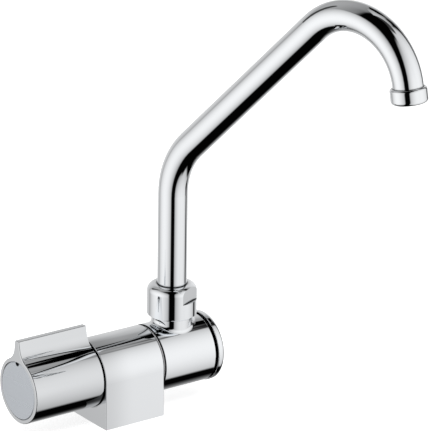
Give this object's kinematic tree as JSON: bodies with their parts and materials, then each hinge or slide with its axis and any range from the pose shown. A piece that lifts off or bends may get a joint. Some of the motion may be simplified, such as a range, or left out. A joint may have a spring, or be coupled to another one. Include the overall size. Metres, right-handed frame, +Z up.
{
  "type": "water tap",
  "caption": "Fold-down cold water tap for a worktop: square block, side knob with a fin, folding carrier and tall swivelling swan-neck spout with an aerator.",
  "frame": {"origin": "centre of the block's underside, on the worktop", "axes": "+Z up; +X along the tap's own horizontal axis, from the knob to the end cap; +Y away from the user"},
  "size_m": [0.1843, 0.2204, 0.3094],
  "materials": {
    "polished_chrome": "polished",
    "satin_chrome": "satin",
    "plain_brass": "satin",
    "stainless_steel": "satin",
    "spring_steel": "satin",
    "seal_rubber": "matte",
    "acetal": "satin",
    "fibre": "matte",
    "ceramic": "satin",
    "grey_plastic": "satin"
  },
  "bodies": {
    "base": {"base_block": "polished_chrome", "base_gasket": "seal_rubber", "headwork_body": "plain_brass", "headwork_washer": "fibre", "fixed_disc": "ceramic", "seat_seal": "seal_rubber", "fold_axle": "plain_brass", "axle_seal": "seal_rubber", "axle_o_rings": "seal_rubber", "slide_washer": "acetal", "stop_pin": "stainless_steel", "thrust_washer": "stainless_steel", "spring_washer": "spring_steel", "axle_nut": "plain_brass"},
    "knob": {"knob_shell": "polished_chrome", "knob_insert": "acetal", "knob_screw": "stainless_steel", "knob_cover": "satin_chrome", "valve_spindle": "plain_brass", "friction_ring": "acetal", "moving_disc": "ceramic", "stem_o_rings": "seal_rubber", "spindle_circlip": "spring_steel"},
    "carrier": {"spout_carrier": "polished_chrome", "end_cap": "polished_chrome", "cap_o_ring": "seal_rubber", "swivel_nut": "polished_chrome", "neck_slip_ring": "acetal", "nut_slip_ring": "acetal"},
    "spout": {"spout_foot": "plain_brass", "foot_o_rings": "seal_rubber", "spout_tube": "polished_chrome", "nozzle_collar": "polished_chrome", "aerator_seal": "seal_rubber", "aerator_cup": "grey_plastic", "aerator_screen": "stainless_steel"}
  },
  "joints": [
    {"name": "knob_turn", "type": "hinge", "parent": "base", "child": "knob", "pos_m": [-0.0234, 0, 0.033], "axis": [1, 0, 0], "range_deg": [0, 90]},
    {"name": "fold", "type": "hinge", "parent": "base", "child": "carrier", "pos_m": [0.0234, 0, 0.033], "axis": [1, 0, 0], "range_deg": [0, 90]},
    {"name": "spout_swivel", "type": "hinge", "parent": "carrier", "child": "spout", "pos_m": [0.04525, 0, 0.073], "axis": [0, 0, 1], "continuous": true}
  ]
}
